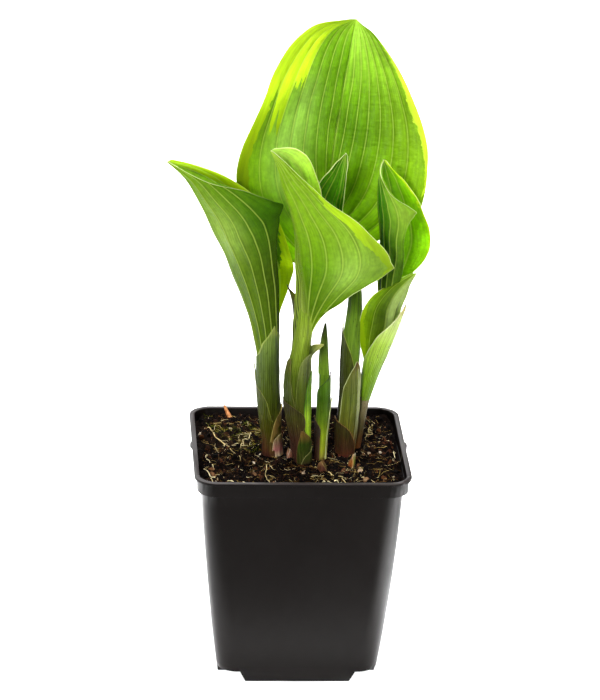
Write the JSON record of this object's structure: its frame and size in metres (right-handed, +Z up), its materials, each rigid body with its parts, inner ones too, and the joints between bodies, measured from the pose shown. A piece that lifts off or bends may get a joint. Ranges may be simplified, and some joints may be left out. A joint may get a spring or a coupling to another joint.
{
  "type": "potted hosta plant",
  "caption": "Young hosta with furled, ribbed, yellow-edged leaves on sheathed stems, in crumbly soil in a square black nursery pot with drained corner feet.",
  "frame": {"origin": "middle of the pot's flat resting face", "axes": "+Z up, +Y to the back, the tall open leaf stands at the back, -Y is the front"},
  "size_m": [0.135, 0.1103, 0.3263],
  "materials": {
    "pot_plastic": "satin moulded",
    "soil": "damp crumbly peat",
    "twig": "dry bark",
    "leaf": "waxy satin, yellow edged",
    "young_shoot": "waxy satin, purple at the foot"
  },
  "bodies": {
    "root": {"pot": "pot_plastic", "soil": "soil", "twig": "twig", "shoot_left": "leaf", "shoot_centre": "leaf", "shoot_back": "leaf", "shoot_right_centre": "leaf", "shoot_right": "leaf", "spear": "young_shoot", "bud_front": "young_shoot", "bud_small": "young_shoot"}
  },
  "joints": []
}
